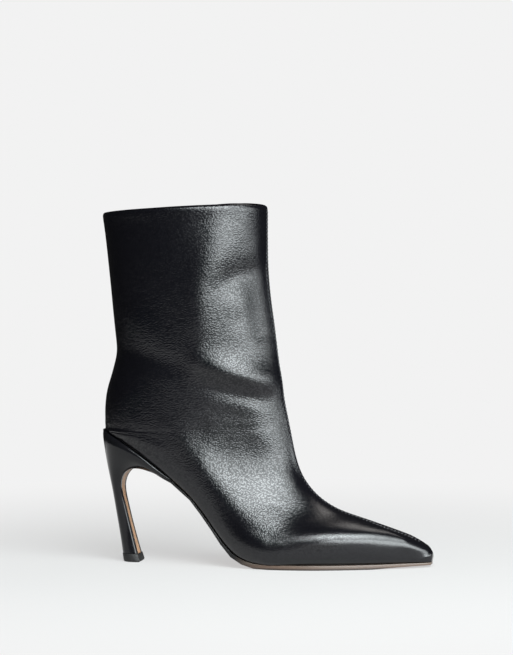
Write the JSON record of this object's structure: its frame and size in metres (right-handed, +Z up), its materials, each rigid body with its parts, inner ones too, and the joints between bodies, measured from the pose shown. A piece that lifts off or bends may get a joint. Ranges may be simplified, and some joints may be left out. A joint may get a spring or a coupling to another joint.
{
  "type": "heeled ankle boot",
  "caption": "Pointed ankle boot for the right foot: smooth leather upper with a straight shaft, slim curved high heel and thin sole.",
  "frame": {"origin": "on the floor, under the middle of the boot's box", "axes": "+X from heel to toe, +Z up, -Y towards the outer side of the right foot"},
  "size_m": [0.2434, 0.0815, 0.2614],
  "materials": {
    "upper_leather": "black, fine pebble grain, semi-gloss",
    "insole_sock": "beige, matt",
    "sole_resin": "tan, satin",
    "heel_cover": "black, smooth, semi-gloss",
    "heel_rubber": "black, matt"
  },
  "bodies": {
    "root": {"upper": "upper_leather", "insole": "insole_sock", "outsole": "sole_resin", "heel": "heel_cover", "top_piece": "heel_rubber"}
  },
  "joints": []
}
